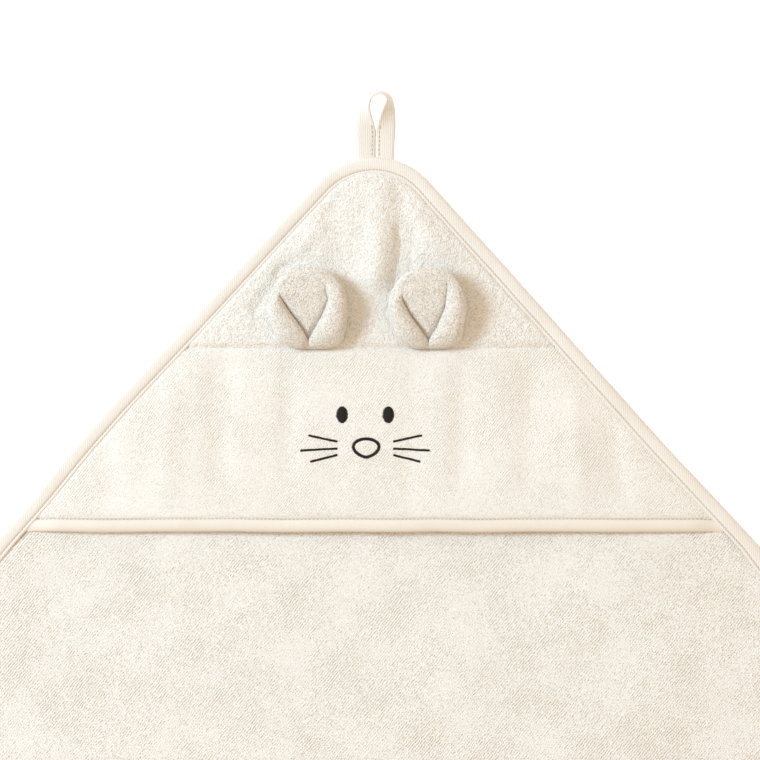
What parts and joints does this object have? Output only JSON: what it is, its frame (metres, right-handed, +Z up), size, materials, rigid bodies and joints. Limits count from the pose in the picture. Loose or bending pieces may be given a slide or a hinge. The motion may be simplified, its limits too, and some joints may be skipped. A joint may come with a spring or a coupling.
{
  "type": "hooded baby towel",
  "caption": "Hooded baby towel of terry cloth with a bound edge, a pocket hood with folded ears and a stitched animal face, and a hanging loop; corner flaps, ears and loop fold on hinges.",
  "frame": {"origin": "middle of the towel's underside, where its two diagonals cross", "axes": "+Z up out of the towel's face, +Y towards the hood's corner, +X to the right as seen from above with the hood at the top"},
  "size_m": [0.969, 1.1135, 0.0257],
  "materials": {
    "terry": "cream looped terry cotton, matt",
    "plush_terry": "cream dense plush terry, matt",
    "face_terry": "cream short sheared terry, matt",
    "twill_tape": "cream cotton twill tape",
    "cream_thread": "cream sewing thread",
    "dark_thread": "dark brown-black satin stitch embroidery thread",
    "label_cloth": "white woven label and backing cloth"
  },
  "bodies": {
    "centre": {"towel_centre": "terry", "centre_edge_tape_upper_left": "twill_tape", "centre_edge_tape_upper_right": "twill_tape", "centre_edge_tape_lower_left": "twill_tape", "centre_edge_tape_lower_right": "twill_tape"},
    "left_wing": {"towel_left_wing": "terry", "left_edge_tape": "twill_tape", "left_edge_stitching": "cream_thread"},
    "right_wing": {"towel_right_wing": "terry", "right_edge_tape": "twill_tape", "right_edge_stitching": "cream_thread"},
    "foot_corner": {"towel_foot_corner": "terry", "foot_edge_tape": "twill_tape", "foot_edge_stitching": "cream_thread", "care_label": "label_cloth"},
    "hood_corner": {"towel_hood_corner": "terry", "hood_edge_tape": "twill_tape", "hood_edge_stitching": "cream_thread", "hood_plush_panel": "plush_terry", "hood_face_panel": "face_terry", "hood_hem_tape": "twill_tape", "hood_hem_stitching": "cream_thread", "embroidery_backing": "label_cloth", "left_eye": "dark_thread", "right_eye": "dark_thread", "nose_outline": "dark_thread", "left_upper_whisker": "dark_thread", "left_middle_whisker": "dark_thread", "left_lower_whisker": "dark_thread", "right_upper_whisker": "dark_thread", "right_middle_whisker": "dark_thread", "right_lower_whisker": "dark_thread"},
    "left_ear": {"left_ear_back_layer": "plush_terry", "left_ear_front_layer": "plush_terry"},
    "right_ear": {"right_ear_back_layer": "plush_terry", "right_ear_front_layer": "plush_terry"},
    "loop": {"hanging_loop": "twill_tape"}
  },
  "joints": [
    {"name": "left_wing_fold", "type": "hinge", "parent": "centre", "child": "left_wing", "pos_m": [-0.258, 0, 0.005], "axis": [0, 1, 0], "range_deg": [0, 178]},
    {"name": "right_wing_fold", "type": "hinge", "parent": "centre", "child": "right_wing", "pos_m": [0.258, 0, 0.005], "axis": [0, -1, 0], "range_deg": [0, 178]},
    {"name": "foot_corner_fold", "type": "hinge", "parent": "centre", "child": "foot_corner", "pos_m": [0, -0.29, 0.005], "axis": [-1, 0, 0], "range_deg": [0, 178]},
    {"name": "hood_corner_fold", "type": "hinge", "parent": "centre", "child": "hood_corner", "pos_m": [0, 0.295, 0.005], "axis": [1, 0, 0], "range_deg": [0, 150]},
    {"name": "left_ear_flop", "type": "hinge", "parent": "hood_corner", "child": "left_ear", "pos_m": [-0.0384, 0.4219, 0.01334], "axis": [1, 0, 0], "range_deg": [0, 150]},
    {"name": "right_ear_flop", "type": "hinge", "parent": "hood_corner", "child": "right_ear", "pos_m": [0.0312, 0.4219, 0.01339], "axis": [1, 0, 0], "range_deg": [0, 150]},
    {"name": "loop_swing", "type": "hinge", "parent": "hood_corner", "child": "loop", "pos_m": [0.001, 0.53709, 0.0057], "axis": [1, 0, 0], "range_deg": [0, 150]}
  ]
}
